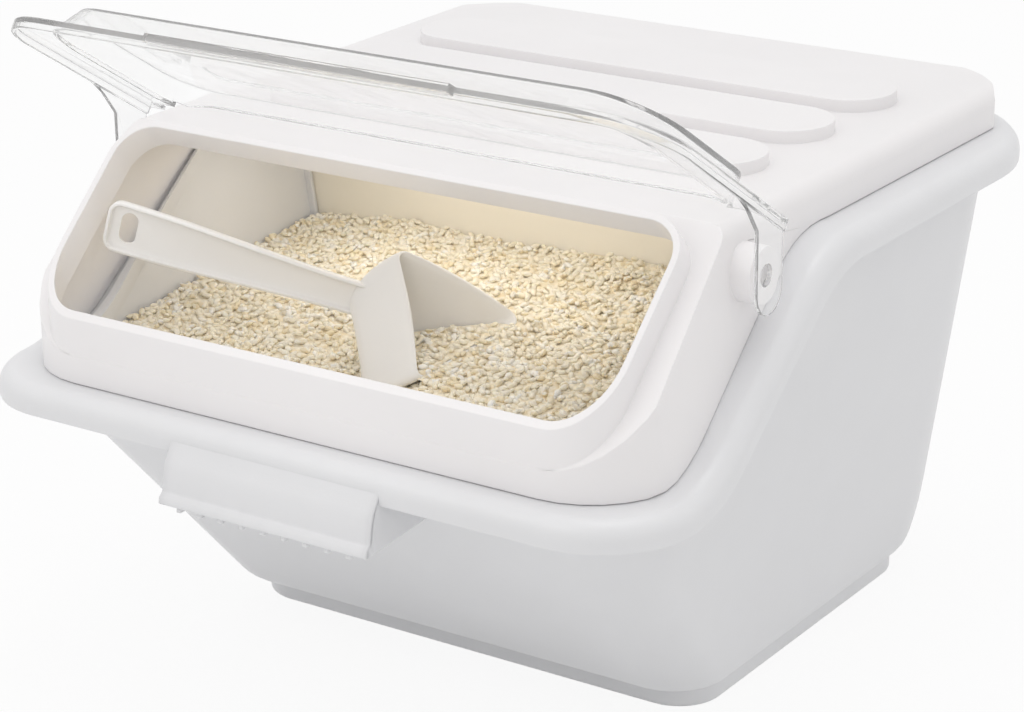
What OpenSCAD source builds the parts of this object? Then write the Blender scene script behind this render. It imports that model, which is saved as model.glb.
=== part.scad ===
// Rice bin with a flip lid: a wedge-fronted bucket, a lift-off hood, a clear two-tier lid on side studs,
// a drop-in divider panel, a scoop and the rice. Millimetres, +Z up, X to the right, -Y to the front.
// The origin is the middle of the foot's underside.

/* [Foot and bucket] */
// Width of the foot
foot_w = 273.6; // [262:0.2:277]
// Depth of the foot
foot_d = 220.6; // [212:0.2:226]
// Height of the foot
foot_h = 11; // [9:0.5:14]
// Corner radius of the foot
foot_r = 24; // [14:1:34]
// Width of the bucket where its walls would meet the table
bucket_w = 283.2; // [279:0.2:290]
// How much each side wall leans out, mm per mm of height
side_lean = 0.152; // [0.1:0.002:0.17]
// Front of the bucket where its wall would meet the table
bucket_front = 111.8; // [108:0.2:116]
// How much the front wall leans out, mm per mm of height
front_lean = 0.83; // [0.78:0.005:0.85]
// Back of the bucket
bucket_back = 153; // [148:0.5:157]
// Corner radius at the front of the bucket
front_r = 28; // [18:1:36]
// Corner radius at the back of the bucket
back_r = 62; // [45:1:72]
// Radius under the back of the bucket
heel_r = 38; // [24:1:40]
// Thickness of the bucket walls
wall = 2.6; // [2:0.1:3.4]
// Height of the bucket's floor
floor_h = 4; // [3:0.5:7]

/* [Rolled rim] */
// Overall width across the rim
rim_w = 390; // [384:1:400]
// Front of the rim
rim_front = 257; // [254:0.5:264]
// Back of the rim
rim_back = 175; // [172:0.5:182]
// Corner radius at the front of the rim
rim_front_r = 48; // [40:1:56]
// Corner radius at the back of the rim
rim_back_r = 88; // [76:1:96]
// Lower edge of the rim at the front
rim_low = 145.5; // [142:0.5:149]
// Lower edge of the rim at the back
rim_high = 230; // [226:0.5:234]
// Angle of the step in the rim's sides
step_angle = 38.5; // [35:0.5:41]
// How far forward the middle of the step lies
step_mid = 133.5; // [129:0.5:137]
// Bend radius of the step
step_r = 70; // [56:1:76]
// Height of the rim's ledge over its lower edge
rim_h = 14; // [12:0.5:15]
// Extra height of the ledge on the step
step_lift = 4.5; // [3:0.5:6]
// Height of the locating bead on the ledge
bead_h = 6; // [4:0.5:8]

/* [Front grip] */
// Width of the pull grip under the front rim
grip_w = 120; // [100:1:140]
// How far the grip's face stands ahead of the rim
grip_out = 7; // [5:0.5:10]
// Height of the grip's lower edge
grip_low = 121; // [118:0.5:126]
// Number of finger ribs in the grip
grip_ribs = 9; // [5:1:11]

/* [Hood] */
// Width of the hood at its top
hood_w = 344; // [340:0.5:348]
// How much each side of the hood leans out going down, mm per mm
hood_draft = 0.0625; // [0.05:0.0025:0.07]
// Front of the hood
hood_front = 240.5; // [239:0.5:243]
// Back of the hood
hood_back = 162; // [159:0.5:165]
// Corner radius at the front of the hood
hood_front_r = 45; // [40:1:50]
// Corner radius at the back of the hood
hood_back_r = 67; // [60:1:74]
// Height of the hood's flat top
hood_top = 264; // [262:0.5:268]
// Radius along the hood's top edges
hood_edge_r = 8; // [4:0.5:10]
// Thickness of the hood
hood_wall = 2.6; // [2:0.1:3.2]
// Gap between the hood and the ledge that it rests on
seat_gap = 0.4; // [0.3:0.05:0.6]
// Gap between the hood and the locating bead
bead_gap = 0.7; // [0.4:0.1:1]
// Length of the raised pads
pad_l = 284; // [260:1:296]
// Width of the raised pads
pad_w = 48; // [40:1:52]
// Height of the raised pads
pad_h = 6.5; // [4:0.5:8]
// Spacing of the raised pads
pad_pitch = 65; // [60:1:68]
// Middle of the rearmost raised pad
pad_back = 68; // [64:1:74]
// Number of raised pads
pad_count = 3; // [1:1:3]

/* [Mouth] */
// Width outside the raised lip of the mouth
lip_w = 326; // [318:1:327]
// Thickness of the lip
lip_wall = 3.4; // [2.6:0.1:4]
// Height of the lip over the hinge line, square to the closed lid
lip_rise = 38; // [36:0.5:39]
// Height of the shoulder round the lip, square to the closed lid
shoulder_rise = 24.5; // [23:0.5:26]
// How far the lip's back lies behind the hinge line
lip_back = 1.2; // [0:0.1:2]
// How far the lip's front stands behind the hood's
lip_inset = 0.6; // [0.4:0.1:1]
// Corner radius at the front of the lip
lip_front_r = 28; // [20:1:32]
// Corner radius at the back of the lip
lip_back_r = 22; // [14:1:28]

/* [Hinge and lid] */
// How far forward the hinge line lies
hinge_front = 133; // [131:0.5:135]
// Height of the hinge line
hinge_h = 240.5; // [239:0.5:242]
// Slope of the mouth and of the closed lid
mouth_tilt = 43; // [42:0.5:44]
// Swing of the lid from closed to open
lid_swing = 76; // [74:1:78]
// Diameter of the hinge studs
stud_d = 10; // [8:0.5:11]
// Running gap round the studs
stud_gap = 0.05; // [0.02:0.01:0.1]
// Length of the studs
stud_l = 6.5; // [4:0.5:7]
// Radius of the hinge bosses
boss_r = 12; // [10:0.5:13]
// Outer face of the hinge bosses from the middle
boss_face = 183.4; // [182.4:0.1:184.4]
// Gap between a boss and the lid's ear
ear_gap = 0.4; // [0.3:0.1:0.6]
// Thickness of the lid
lid_wall = 2.3; // [2:0.1:2.6]
// Gap between the lip and the closed lid
lid_gap = 0.8; // [0.6:0.1:1.2]
// Depth of the skirt round the lid under its margin
skirt_h = 3.4; // [2:0.2:4]
// Corner radius at the front of the lid
lid_r = 33; // [28:1:38]
// Width of the lid's ears
ear_w = 23; // [20:0.5:25]
// Width of the lid's front tab
tab_w = 170; // [120:2:190]
// How far the tab stands ahead of the lid
tab_l = 5; // [3:0.5:7]

/* [Divider] */
// Thickness of the divider panel
panel_t = 3; // [2:0.1:4]
// Height of the divider panel's top
panel_top = 236; // [228:0.5:240]
// Middle of the divider panel, ahead of the origin
panel_mid = 7.5; // [4:0.5:12]
// Play round the panel in its rails
panel_gap = 0.5; // [0.3:0.1:0.8]
// How far the rails stand out from the walls
rail_out = 4; // [3:0.5:6]
// Thickness of each rail
rail_t = 2.2; // [1.6:0.1:3]

/* [Rice] */
// Height of the rice at the divider
rice_back = 185; // [175:0.5:190]
// Fall of the rice towards the front, mm per mm
rice_slope = 0.14; // [0.12:0.005:0.16]
// Swell of the heap
rice_swell = 2.5; // [0:0.25:4]
// Gap between the rice and what holds it
rice_gap = 0.6; // [0.4:0.1:1]

/* [Scoop] */
// Depth of the scoop's bowl
bowl_depth = 40; // [34:0.5:44]
// Thickness of the scoop
scoop_wall = 1.8; // [1.4:0.1:2.2]
// Width of the handle at its end
handle_w = 26; // [22:0.5:27]
// Width of the handle at the bowl
neck_w = 17; // [14:0.5:20]
// Depth of the flanges along the handle's edges
handle_flange = 5; // [4:0.5:7]
// Width of the hang slot
slot_w = 8.5; // [7:0.5:10]
// Length of the hang slot
slot_l = 16; // [14:0.5:17]

/* [Hidden] */
$fn = 64;
white = "white";

// Steps in each corner of a ring, and along its two straight sides
corner_n = 7;
side_n = 26;
ring_n = 4 * (corner_n + 1) + 2 * (side_n - 1);

// The side step of the rim: two equal bends joined by a straight slope
step_tan = step_r * tan(step_angle / 2);
step_run = (rim_high - rim_low) / tan(step_angle);
bend_out = step_tan;
bend_in = step_tan * cos(step_angle);
low_start = -step_mid - step_run / 2 - bend_out;
low_end = -step_mid - step_run / 2 + bend_in;
high_start = -step_mid + step_run / 2 - bend_in;
high_end = -step_mid + step_run / 2 + bend_out;

// Height of the rim's lower edge, and how steep it is there from 0 to 1
function rim_z(y) =
    y <= low_start ? rim_low
    : y < low_end ? rim_low + step_r - sqrt(step_r ^ 2 - (y - low_start) ^ 2)
    : y <= high_start ? rim_low + (y + step_mid + step_run / 2) * tan(step_angle)
    : y < high_end ? rim_high - step_r + sqrt(step_r ^ 2 - (high_end - y) ^ 2)
    : rim_high;
function steepness(y) =
    y <= low_start || y >= high_end ? 0
    : y < low_end ? (y - low_start) / (low_end - low_start)
    : y <= high_start ? 1
    : (high_end - y) / (high_end - high_start);
function rise_z(y, h) = rim_z(y) + h * (1 + step_lift / rim_h * steepness(y));
function ledge_z(y) = rise_z(y, rim_h);

// A rounded outline as [half width, front, back, front radius, back radius], and the same drawn in by d
function drawn_in(o, d) = [o[0] - d, o[1] - d, o[2] - d, max(1, o[3] - d), max(1, o[4] - d)];
function arc(cx, cy, r, a0, a1, n) =
    [for (i = [0:n]) [cx + r * cos(a0 + (a1 - a0) * i / n), cy + r * sin(a0 + (a1 - a0) * i / n)]];
function ease_side(i) = i / side_n < 0.7 ? i / side_n * 0.8 : 0.56 + (i / side_n - 0.7) / 0.3 * 0.44;
function side(x, y0, y1) = [for (i = [1:side_n - 1]) [x, y0 + (y1 - y0) * ease_side(i)]];
function flipped(points) = [for (i = [len(points) - 1:-1:0]) [-points[i][0], points[i][1]]];
function right_half(o) = concat(
    arc(o[0] - o[3], -o[1] + o[3], o[3], -90, 0, corner_n),
    side(o[0], -o[1] + o[3], o[2] - o[4]),
    arc(o[0] - o[4], o[2] - o[4], o[4], 0, 90, corner_n));
function outline(o) = concat(right_half(o), flipped(right_half(o)));

rim = [rim_w / 2, rim_front, rim_back, rim_front_r, rim_back_r];
hood_foot_w = hood_w / 2 + hood_draft * (hood_top - rim_low - rim_h);
hood_plan = [hood_foot_w, hood_front, hood_back, hood_front_r, hood_back_r];
bead_in = hood_wall + bead_gap;
bead = [hood_w / 2 - bead_in, hood_front - bead_in, hood_back - bead_in, hood_front_r - bead_in,
    hood_back_r - bead_in];

// How far a wall is rounded in at height z, by the radius under it
function tuck(z, r) = z >= foot_h + r ? 0 : r - sqrt(r ^ 2 - (foot_h + r - max(z, foot_h)) ^ 2);
// Outline of the bucket's wall drawn in by t, where its sides, front and back stand at three heights
function bucket(z, z_front, z_back, t) = [
    bucket_w / 2 + side_lean * z - t - tuck(z, 8),
    bucket_front + front_lean * z_front - t * sqrt(1 + front_lean ^ 2) - tuck(z_front, 9),
    bucket_back - t - tuck(z_back, heel_r),
    front_r - t,
    max(foot_r, back_r - 0.7 * tuck(z_back, heel_r)) - t];
floor_plan = drawn_in([foot_w / 2, foot_d / 2, foot_d / 2, foot_r, foot_r], wall + 1);

// Rings of the bucket's shell. A wall ring lies the share f of the way up to the height h under the rim,
// so each of its points has its own height
wall_top = outline(bucket(rim_high, rim_low + rim_h, rim_high, 0));
function share(f, top) = foot_h + f * (top - foot_h);
function wall_ring(f, t, h) = [for (i = [0:ring_n - 1])
    let (z = share(f, rise_z(wall_top[i][1], h)),
         p = outline(bucket(z, share(f, rim_low + h), share(f, rim_high + h), t))[i])
    [p[0], p[1], z]];
function flat_ring(o, z) = [for (p = outline(o)) [p[0], p[1], z]];
function rim_level(o, h) = [for (p = outline(o)) [p[0], p[1], rise_z(p[1], h)]];
bead_edge = outline(drawn_in(bead, 2.2));
wall_edge = wall_ring(1, wall, rim_h - 4);
inner_edge = [for (i = [0:ring_n - 1]) let (b = bead_edge[i], w = wall_edge[i])
    [sign(b[0]) * min(abs(b[0]), abs(w[0])), b[1] < 0 ? max(b[1], w[1]) : min(b[1], w[1])]];
wall_steps = [0.004, 0.016, 0.035, 0.065, 0.11, 0.17, 0.24, 0.6, 1];
foot_plan = [foot_w / 2, foot_d / 2, foot_d / 2, foot_r, foot_r];
shell_rings = concat(
    [flat_ring(drawn_in(foot_plan, 1.6), 0), flat_ring(drawn_in(foot_plan, 0.5), 0.8), flat_ring(foot_plan, 2.2),
     flat_ring(foot_plan, foot_h)],
    [for (f = wall_steps) wall_ring(f, 0, rim_h - 6)],
    [for (s = [[6, -3.4], [wall + 0.6, -5], [wall, -7], [wall, -rim_h], [0.8, -rim_h], [0, 1 - rim_h],
               [0, -6], [2, -2.2], [5, -0.6]]) rim_level(drawn_in(rim, s[0]), rim_h + s[1])],
    [rim_level(hood_plan, rim_h), rim_level(bead, rim_h)],
    [[for (p = rim_level(bead, rim_h)) [p[0], p[1], p[2] + bead_h]]],
    [[for (p = inner_edge) [p[0], p[1], rise_z(p[1], rim_h) + bead_h]]],
    [[for (p = inner_edge) [p[0], p[1], rise_z(p[1], rim_h - 3)]]],
    [for (i = [len(wall_steps) - 1:-1:2]) wall_ring(wall_steps[i], wall, rim_h - 4)],
    [flat_ring(floor_plan, foot_h)],
    [flat_ring(drawn_in(floor_plan, 1.5), floor_h + 3)],
    [flat_ring(drawn_in(floor_plan, 5), floor_h)]);

// A closed solid through rings that all have n points, with a flat face on the first and last
module ring_solid(rings, n) {
    points = [for (r = rings) each r];
    count = len(rings);
    polyhedron(points, concat(
        [[for (i = [0:n - 1]) i]],
        [for (k = [0:count - 2], i = [0:n - 1])
            [k * n + i, (k + 1) * n + i, (k + 1) * n + (i + 1) % n]],
        [for (k = [0:count - 2], i = [0:n - 1])
            [k * n + i, (k + 1) * n + (i + 1) % n, k * n + (i + 1) % n]],
        [[for (i = [n - 1:-1:0]) (count - 1) * n + i]]));
}

module plan(o) {
    polygon(outline(o));
}

// A prism along X from points in the YZ plane, and one along Y from points in the XZ plane
module along_x(x0, x1, points) {
    translate([x0, 0, 0]) rotate([90, 0, 90]) linear_extrude(x1 - x0) polygon(points);
}
module along_y(y0, y1, points) {
    translate([0, y1, 0]) rotate([90, 0, 0]) linear_extrude(y1 - y0) polygon(points);
}
module both_sides() {
    children();
    mirror([1, 0, 0]) children();
}

// The grip: a face that flows down from the rim, an end web at each side and short ribs for the fingers
grip_face = -rim_front - grip_out;
grip_foot = -rim_front - grip_out - 4;
module grip() {
    face = [
        [-rim_front + 1, rim_low + rim_h - 7],
        [-rim_front, rim_low + rim_h - 8],
        [grip_face + 1, rim_low - 6],
        [grip_face - 0.6, rim_low - 16],
        [grip_foot, grip_low + 4],
        [grip_foot + 0.4, grip_low + 2.5],
        [grip_foot + wall, grip_low + 2.5],
        [grip_face + wall - 0.6, rim_low - 16],
        [grip_face + wall + 1, rim_low - 6],
        [-rim_front + wall + 0.6, rim_low + 3],
        [-rim_front + wall + 2, rim_low + rim_h - 7]];
    web = concat(face_front(), [
        [-bucket_front - front_lean * (rim_low + 6) + 1, rim_low + rim_h - 4],
        [-bucket_front - front_lean * (grip_low + 6) + 1, grip_low + 6]]);
    along_x(-grip_w / 2, grip_w / 2, face);
    both_sides() along_x(grip_w / 2 - wall, grip_w / 2, web);
    span = grip_w - 22;
    for (i = [0:grip_ribs - 1])
        along_x(-span / 2 + span * i / (grip_ribs - 1) - 1.5, -span / 2 + span * i / (grip_ribs - 1) + 1.5,
            [[grip_foot + wall - 0.5, grip_low], [grip_foot + wall + 4, grip_low + 1],
             [grip_face + wall + 2.5, rim_low - 12], [grip_face + wall - 1.2, rim_low - 12]]);
}
function face_front() = [
    [grip_foot + 1, grip_low],
    [grip_foot + 0.8, grip_low + 2],
    [grip_face + 0.6, rim_low - 16],
    [grip_face + 1.8, rim_low - 6],
    [-rim_front + 1.5, rim_low + rim_h - 7]];

// Two upright rails on each side wall hold the divider panel between them
panel_front = -panel_mid - panel_t / 2;
panel_rear = -panel_mid + panel_t / 2;
module rails() {
    foot_z = 30;
    inner = bucket_w / 2 - wall;
    edge = [
        [inner + side_lean * foot_z + 1, foot_z],
        [inner + side_lean * foot_z - 0.5, foot_z],
        [inner + side_lean * foot_z - rail_out, foot_z + 3],
        [inner + side_lean * panel_top - rail_out, panel_top],
        [inner + side_lean * panel_top + 1, panel_top]];
    both_sides() {
        along_y(panel_front - panel_gap - rail_t, panel_front - panel_gap, edge);
        along_y(panel_rear + panel_gap, panel_rear + panel_gap + rail_t, edge);
    }
}

module bin_body() {
    color(white) union() {
        ring_solid(shell_rings, ring_n);
        union() {
            grip();
            rails();
        }
    }
}

module divider_panel() {
    low = floor_h + panel_gap;
    high = foot_h + 12;
    edge = bucket_w / 2 - wall - panel_gap;
    half = [
        [floor_plan[0] - 7, low],
        [floor_plan[0] - 3, foot_h + 1],
        [edge + side_lean * high, high + 6],
        [edge + side_lean * panel_top, panel_top]];
    color(white) along_y(panel_front, panel_rear, concat(half, [for (i = [3:-1:0]) [-half[i][0], half[i][1]]]));
}

// The hinge line, and the tilted frame of the mouth: X right, Y backwards up the slope, Z square to it
module at_hinge(angle) {
    translate([0, -hinge_front, hinge_h]) rotate([angle, 0, 0]) children();
}
function on_mouth_z(y, rise) = hinge_h + (rise + (y + hinge_front) * sin(mouth_tilt)) / cos(mouth_tilt);
function on_mouth_y(z, rise) = -hinge_front + ((z - hinge_h) * cos(mouth_tilt) - rise) / sin(mouth_tilt);

// The block of the lip grown by g: straight up at the front, square to the mouth at the back
function mouth_back(g) = concat(
    arc(lip_w / 2 - lip_back_r, lip_back - lip_back_r, lip_back_r + g, 0, 90, 12),
    flipped(arc(lip_w / 2 - lip_back_r, lip_back - lip_back_r, lip_back_r + g, 0, 90, 12)),
    [[-lip_w / 2 - g, -200], [lip_w / 2 + g, -200]]);
function mouth_front(g) = concat(
    arc(-lip_w / 2 + lip_front_r, -hood_front + lip_inset + lip_front_r, lip_front_r + g, 180, 270, 12),
    arc(lip_w / 2 - lip_front_r, -hood_front + lip_inset + lip_front_r, lip_front_r + g, 270, 360, 12),
    [[lip_w / 2 + g, 0], [-lip_w / 2 - g, 0]]);
module lip_block(g, low, high) {
    intersection() {
        at_hinge(mouth_tilt) translate([0, 0, low]) linear_extrude(high - low) polygon(mouth_back(g));
        linear_extrude(2 * hood_top) polygon(mouth_front(g));
    }
}

// Side view of the hood drawn in by t, its foot following the ledge
function hood_side(t, drop) = concat(
    [for (p = right_half(hood_plan)) [p[1] + (p[1] < 0 ? t : -t), ledge_z(p[1]) + seat_gap - drop]],
    arc(hood_back - t - hood_edge_r, hood_top - t - hood_edge_r, hood_edge_r, 0, 90, 8),
    [[on_mouth_y(hood_top - t, shoulder_rise - t), hood_top - t],
     [-hood_front + t, on_mouth_z(-hood_front + t, shoulder_rise - t)]]);
function hood_end(t) =
    let (r = hood_edge_r, x = hood_w / 2 - t - r, z = hood_top - t - r, low = rim_low - 20,
         right = concat([[hood_w / 2 - t + hood_draft * (hood_top - low), low]], arc(x, z, r, 0, 90, 8)))
    concat(right, flipped(right));
module hood_block(t, drop) {
    intersection() {
        along_x(-hood_w, hood_w, hood_side(t, drop));
        along_y(-2 * hood_front, 2 * hood_back, hood_end(t));
        linear_extrude(2 * hood_top) plan(drawn_in(hood_plan, t));
    }
}
module pad(grow, top) {
    x = pad_l / 2 - pad_w / 2;
    translate([0, 0, hood_top - hood_wall - 1]) {
        translate([-x, -pad_w / 2 - grow, 0]) cube([2 * x, pad_w + 2 * grow, top + hood_wall + 1]);
        for (s = [-1, 1]) translate([s * x, 0, 0]) cylinder(r = pad_w / 2 + grow, h = top + hood_wall + 1);
    }
}
module pads(grow, top) {
    for (i = [0:pad_count - 1]) translate([0, pad_back - i * pad_pitch, 0]) pad(grow, top);
}
module boss() {
    root = hood_w / 2 - 1;
    translate([root, -hinge_front, hinge_h]) {
        for (s = [-1.5, 1.5]) translate([0, 0, s]) rotate([0, 90, 0]) cylinder(r = boss_r, h = boss_face - root);
        translate([0, -boss_r, -1.5]) cube([boss_face - root, 2 * boss_r, 3]);
    }
}
module stud_bore() {
    translate([boss_face - stud_l - 0.6, -hinge_front, hinge_h]) rotate([0, 90, 0])
        cylinder(d = stud_d + 2 * stud_gap, h = stud_l + 2);
}

module hood() {
    color(white) difference() {
        union() {
            hood_block(0, 0);
            intersection() {
                lip_block(0, 0, lip_rise);
                along_x(-hood_w, hood_w, [[-hood_front - 1, ledge_z(-hood_front) + seat_gap],
                    [0, hood_top], [0, 2 * hood_top], [-hood_front - 1, 2 * hood_top]]);
            }
            pads(0, pad_h);
            both_sides() boss();
        }
        hood_block(hood_wall, 30);
        pads(-hood_wall, pad_h - hood_wall);
        lip_block(-lip_wall, shoulder_rise - hood_wall - 4, lip_rise + 5);
        both_sides() stud_bore();
    }
}

// The clear lid, modelled closed on the mouth and turned open about the hinge line
ear_in = boss_face + ear_gap;
ear_out = ear_in + lid_wall;
margin_low = shoulder_rise + lid_gap;
margin_top = margin_low + lid_wall;
skirt_low = margin_low - skirt_h;
crown_low = lip_rise + lid_gap;
crown_top = crown_low + lid_wall;
function band_u(rise) = (hood_front - hinge_front - rise * sin(mouth_tilt)) / cos(mouth_tilt);
skirt_in = band_u(skirt_low) + lid_gap;
skirt_out = skirt_in + lid_wall;
function tier(x, front, back, r) = concat(
    arc(-x + r, -front + r, r, 180, 270, 12),
    arc(x - r, -front + r, r, 270, 360, 12),
    [[x, back], [-x, back]]);
module lower_tier() {
    translate([0, 0, skirt_low]) linear_extrude(margin_top - skirt_low) polygon(tier(ear_out, skirt_out, 3, lid_r));
}
module lower_hollow() {
    translate([0, 0, skirt_low - 1]) linear_extrude(skirt_h + 1)
        polygon(tier(ear_in, skirt_in, 10, lid_r - lid_wall));
}
module in_mouth_frame() {
    rotate([-mouth_tilt, 0, 0]) translate([0, hinge_front, -hinge_h]) children();
}

// The ear hangs upright from the open lid and ends in a round below the stud
open_angle = mouth_tilt - lid_swing;
ear_r = ear_w / 2;
ear_mid = [1.6, -7.5];
function upright(u, v) = [v * sin(-open_angle) - u * cos(open_angle), v * cos(open_angle) + u * sin(-open_angle)];
module ear() {
    rotate([-open_angle, 0, 0]) along_x(0.1, lid_wall - 0.1, concat(
        arc(ear_mid[0], ear_mid[1], ear_r, 180, 360, 18), [
            [ear_mid[0] + ear_r, upright(0, skirt_low)[1]],
            upright(0, skirt_low + 1),
            upright(2, margin_top - 0.6),
            upright(44, margin_top - 0.6),
            upright(44, skirt_low),
            upright(35, skirt_low - 2),
            [ear_mid[0] - ear_r, upright(26, skirt_low)[1] - 9]]));
}
module flip_lid() {
    color("gainsboro", 0.35) at_hinge(open_angle) {
        difference() {
            union() {
                lower_tier();
                in_mouth_frame() lip_block(lid_gap + lid_wall, margin_low, crown_top);
            }
            lower_hollow();
            in_mouth_frame() lip_block(lid_gap, skirt_low - 2, crown_low);
            // Clears the hood's flat top as the lid stands open
            rotate([-open_angle, 0, 0]) translate([-boss_face + 9, -16, -hinge_h])
                cube([2 * boss_face - 18, 60, hood_top + 1]);
            // The margin ends ahead of the hinge
            translate([-boss_face + 9, -8, skirt_low - 1]) cube([2 * boss_face - 18, 60, margin_top - skirt_low + 1.5]);
        }
        translate([-tab_w / 2, -skirt_out - tab_l, margin_low - 2]) cube([tab_w, tab_l + 1, lid_wall + 2]);
        both_sides() translate([ear_in, 0, 0]) ear();
        both_sides() translate([boss_face - stud_l, 0, 0]) rotate([0, 90, 0])
            cylinder(d = stud_d, h = stud_l + ear_gap + lid_wall / 2);
    }
}

// The scoop: a hollow bowl through a three-cornered rim, and a handle from its back corner to the left.
// Corners of the rim, and the unit vector from the rim into the bowl's back
rim_back_pt = [-21, -131, 218];
rim_far_pt = [29, -95, 178.5];
rim_near_pt = [15, -165, 166];
bowl_in = [-0.786, -0.376, -0.489];
function mix(a, b, t) = a + (b - a) * t;
function side_pts(a, b, n) = [for (i = [0:n - 1]) mix(a, b, 0.06 + 0.88 * i / (n - 1))];
bowl_n = 7;
bowl_rim = concat(side_pts(rim_near_pt, rim_far_pt, bowl_n), side_pts(rim_far_pt, rim_back_pt, bowl_n),
    side_pts(rim_back_pt, rim_near_pt, bowl_n));
bowl_mid = (rim_back_pt + rim_far_pt + rim_near_pt) / 3;
function bowl_ring(q, t) = [for (p = bowl_rim)
    let (d = p - bowl_mid, k = (norm(d) - t) / norm(d), c = pow(cos(q), 0.5), s = pow(sin(q), 0.9))
    bowl_mid + d * k * c + bowl_in * (bowl_depth - t) * s];
bowl_steps = [6, 18, 32, 46, 60, 73, 84];
function bowl_shell() = concat(
    [for (i = [len(bowl_steps) - 1:-1:0]) bowl_ring(bowl_steps[i], 0)],
    [bowl_ring(0, 0), bowl_ring(0, scoop_wall)],
    [for (q = bowl_steps) bowl_ring(q, scoop_wall)]);

// The handle's own frame: X from the bowl to the end, Y across the blade, Z out of its face
handle_from = [-50, -146, 196];
handle_to = [-146.5, -189.5, 224.5];
handle_run = handle_to - handle_from;
handle_l = norm(handle_run);
handle_yaw = atan2(handle_run[1], handle_run[0]);
handle_pitch = asin(handle_run[2] / handle_l);
module on_handle() {
    translate(handle_from) rotate([0, 0, handle_yaw]) rotate([90, 0, 0]) rotate([0, 0, handle_pitch]) children();
}
// The blade widens from the neck to the end in short steps, each between two pairs of rounds
blade_r = 6.5;
blade_steps = 5;
function blade_x(k) = -17 + (handle_l + 4 - blade_r + 17) * k / blade_steps;
function blade_half(k) = (neck_w + (handle_w - neck_w) * (0.5 - 0.5 * cos(180 * k / blade_steps))) / 2;
module blade(inset) {
    for (k = [0:blade_steps - 1])
        hull()
            for (i = [k, k + 1], s = [-1, 1])
                translate([blade_x(i), s * (blade_half(i) - blade_r)]) circle(blade_r - inset, $fn = 24);
}
module scoop_handle() {
    on_handle() difference() {
        translate([0, 0, -handle_flange]) linear_extrude(handle_flange) blade(0);
        translate([0, 0, -handle_flange - 1]) linear_extrude(handle_flange + 1 - scoop_wall) blade(scoop_wall);
        translate([handle_l - 7, 0, -handle_flange - 1]) linear_extrude(handle_flange + 2) {
            square([slot_w, slot_l - slot_w], center = true);
            for (s = [-1, 1]) translate([0, s * (slot_l - slot_w) / 2]) circle(d = slot_w);
        }
    }
}
module bowl_space(t) {
    ring_solid([for (q = concat([for (i = [len(bowl_steps) - 1:-1:0]) bowl_steps[i]], [0]))
        bowl_ring(q, t)], 3 * bowl_n);
}
module scoop() {
    color(white) {
        ring_solid(bowl_shell(), 3 * bowl_n);
        difference() {
            scoop_handle();
            bowl_space(scoop_wall / 2);
        }
    }
}

// Natural height of the rice, and the way that the scoop needs when it is pulled up and forward
pull_slope = 0.67;
function rice_height(x, y) =
    rice_back + rice_slope * (y - panel_front) + rice_swell * sin(x * 1.9) * cos(y * 2.3)
    - 7 * max(0, min(1, (-x - 100) / 35)) * max(0, min(1, (y + 75) / 50));
bowl_outer = [for (q = concat([0], bowl_steps)) each bowl_ring(q, -0.3)];
function under_scoop(x, y) = min([for (p = bowl_outer)
    let (ahead = p[1] - y, aside = max(0, abs(p[0] - x) - 8))
    p[2] - 0.3 + aside + (ahead > 0 ? max(0, ahead - 8) * pull_slope : max(0, -ahead - 8))]);

module rice_in_scoop() {
    level = rice_back - rice_slope * (200 + panel_front) + 4;
    color("cornsilk") intersection() {
        bowl_space(scoop_wall + 0.3);
        translate([-100, -200, 0]) rotate([atan(rice_slope), 0, 0]) cube([200, 160, level]);
    }
}

rice_nx = 28;
rice_ny = 20;
rice_rear = panel_front - rice_gap;
function rice_y(j, front, rear) = front + (rear - front) * j / rice_ny;
function rice_half(y, z) =
    let (b = bucket(z, z, z, wall + rice_gap), over = max(0, -b[1] + b[3] - y))
    b[0] - b[3] + sqrt(max(0, b[3] ^ 2 - min(over, b[3]) ^ 2));
rice_front_z = rice_height(0, -bucket_front - front_lean * rim_low);
rice_front = -bucket_front - front_lean * (rice_front_z - 3) + (wall + rice_gap) * 1.3 + 0.5;
function rice_top(i, j) =
    let (y = rice_y(j, rice_front, rice_rear), natural = rice_height(0, y) - rice_swell - 7,
         half = rice_half(y, natural) - (j == rice_ny ? rail_out + 2.5 : 0),
         x = (2 * i / rice_nx - 1) * half)
    [x, y, min(rice_height(x, y), under_scoop(x, y))];
function rice_low(i, j) =
    let (y = rice_y(j, -floor_plan[1] + 9, rice_rear), f = (2 * i / rice_nx - 1))
    [f * (floor_plan[0] - (j == 0 ? foot_r : 9)), y, floor_h + rice_gap];
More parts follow.
